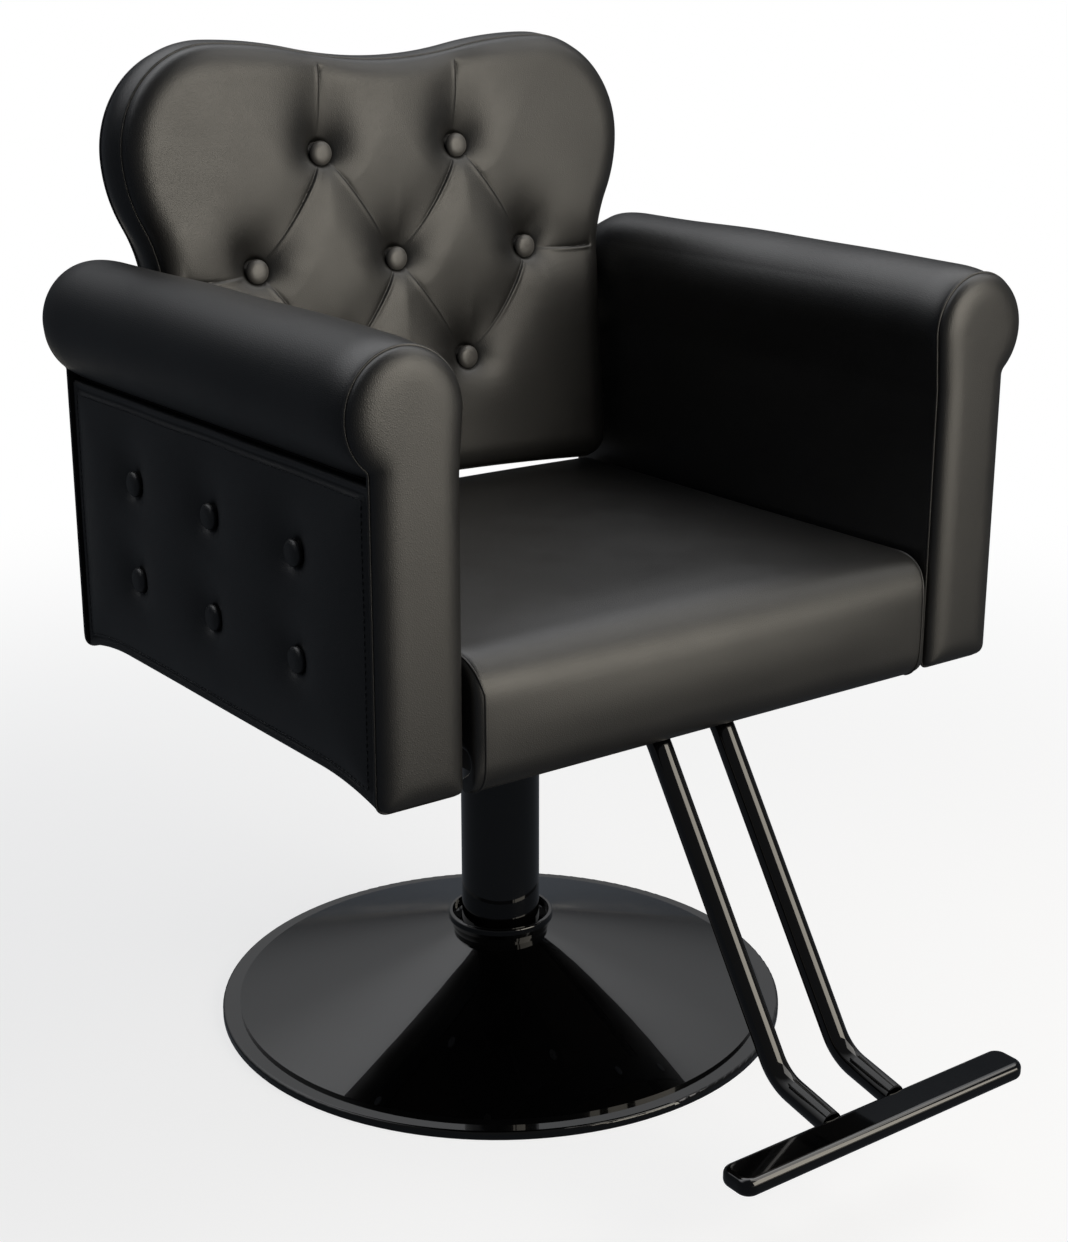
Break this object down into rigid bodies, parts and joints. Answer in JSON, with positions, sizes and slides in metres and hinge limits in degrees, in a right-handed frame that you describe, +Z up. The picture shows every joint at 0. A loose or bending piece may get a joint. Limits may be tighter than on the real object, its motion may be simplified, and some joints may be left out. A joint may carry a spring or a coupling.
{
  "type": "styling chair",
  "caption": "Salon styling chair with tufted heart-shaped back, scroll arms, foot-pumped hydraulic lift, swivel seat, round base and T-bar footrest.",
  "frame": {"origin": "where the axis of the hydraulic column meets the floor, at the centre of the base plate underside", "axes": "+Z up along the column, -Y the way the sitter faces, +X towards the left hand of the sitter"},
  "size_m": [0.74, 0.854, 0.9633],
  "materials": {
    "black_leather": "satin",
    "gloss_black_steel": "gloss",
    "satin_black_steel": "satin",
    "plywood": "matte",
    "bright_steel": "satin",
    "zinc_steel": "satin",
    "bronze": "satin",
    "grey_iron": "matte",
    "black_rubber": "matte"
  },
  "bodies": {
    "base": {"base_plate": "gloss_black_steel", "base_dome": "gloss_black_steel", "trim_collar": "gloss_black_steel", "pump_flange": "grey_iron", "flange_bolts": "zinc_steel", "pump_column": "gloss_black_steel", "pressure_cylinder": "bright_steel", "column_cap": "satin_black_steel", "ram_bush": "bronze", "ram_wiper": "black_rubber", "pump_barrel": "grey_iron", "pedal_bracket": "satin_black_steel", "pedal_pin": "bright_steel"},
    "ram": {"ram": "bright_steel", "piston": "bright_steel", "piston_ring": "black_rubber", "thrust_washer": "bronze"},
    "pedal": {"pedal_lever": "satin_black_steel", "pedal_tread": "black_rubber"},
    "plunger": {"pump_plunger": "bright_steel", "plunger_spring": "bright_steel"},
    "seat": {"back_board": "plywood", "back_buttons": "black_leather", "back_cushion": "black_leather", "back_rear_cover": "black_leather", "clamp_bolts": "zinc_steel", "footrest_bar": "gloss_black_steel", "footrest_clamps": "satin_black_steel", "front_strap": "satin_black_steel", "left_arm_buttons": "black_leather", "left_arm_facing": "black_leather", "left_arm_frame": "plywood", "left_arm_inner_pad": "black_leather", "left_arm_outer_pad": "black_leather", "left_arm_rear_cover": "black_leather", "left_arm_roll": "black_leather", "left_back_bolts": "zinc_steel", "left_footrest_tube": "gloss_black_steel", "rear_strap": "satin_black_steel", "right_arm_buttons": "black_leather", "right_arm_facing": "black_leather", "right_arm_frame": "plywood", "right_arm_inner_pad": "black_leather", "right_arm_outer_pad": "black_leather", "right_arm_rear_cover": "black_leather", "right_arm_roll": "black_leather", "right_back_bolts": "zinc_steel", "right_footrest_tube": "gloss_black_steel", "seat_board": "plywood", "seat_cushion": "black_leather", "seat_plate": "satin_black_steel", "seat_plate_bolts": "zinc_steel", "strap_screws": "zinc_steel", "swivel_hub": "satin_black_steel"}
  },
  "joints": [
    {"name": "lift", "type": "slide", "parent": "base", "child": "ram", "axis": [0, 0, 1], "range_m": [0, 0.15]},
    {"name": "swivel", "type": "hinge", "parent": "ram", "child": "seat", "pos_m": [0, 0, 0.36], "axis": [0, 0, 1], "continuous": true},
    {"name": "pedal_pivot", "type": "hinge", "parent": "base", "child": "pedal", "pos_m": [0.03322, 0.04509, 0.124], "axis": [-0.8051, 0.5931, 0], "range_deg": [0, 20], "stiffness_Nm_per_rad": 12, "springref_deg": -11.46},
    {"name": "plunger_slide", "type": "slide", "parent": "base", "child": "plunger", "axis": [0, 0, 1], "range_m": [0, 0.0095], "deforming": ["plunger_spring"]}
  ],
  "couplings": [
    {"joint": "plunger_slide", "follows": "pedal_pivot", "m_per_rad": 0.02675}
  ]
}
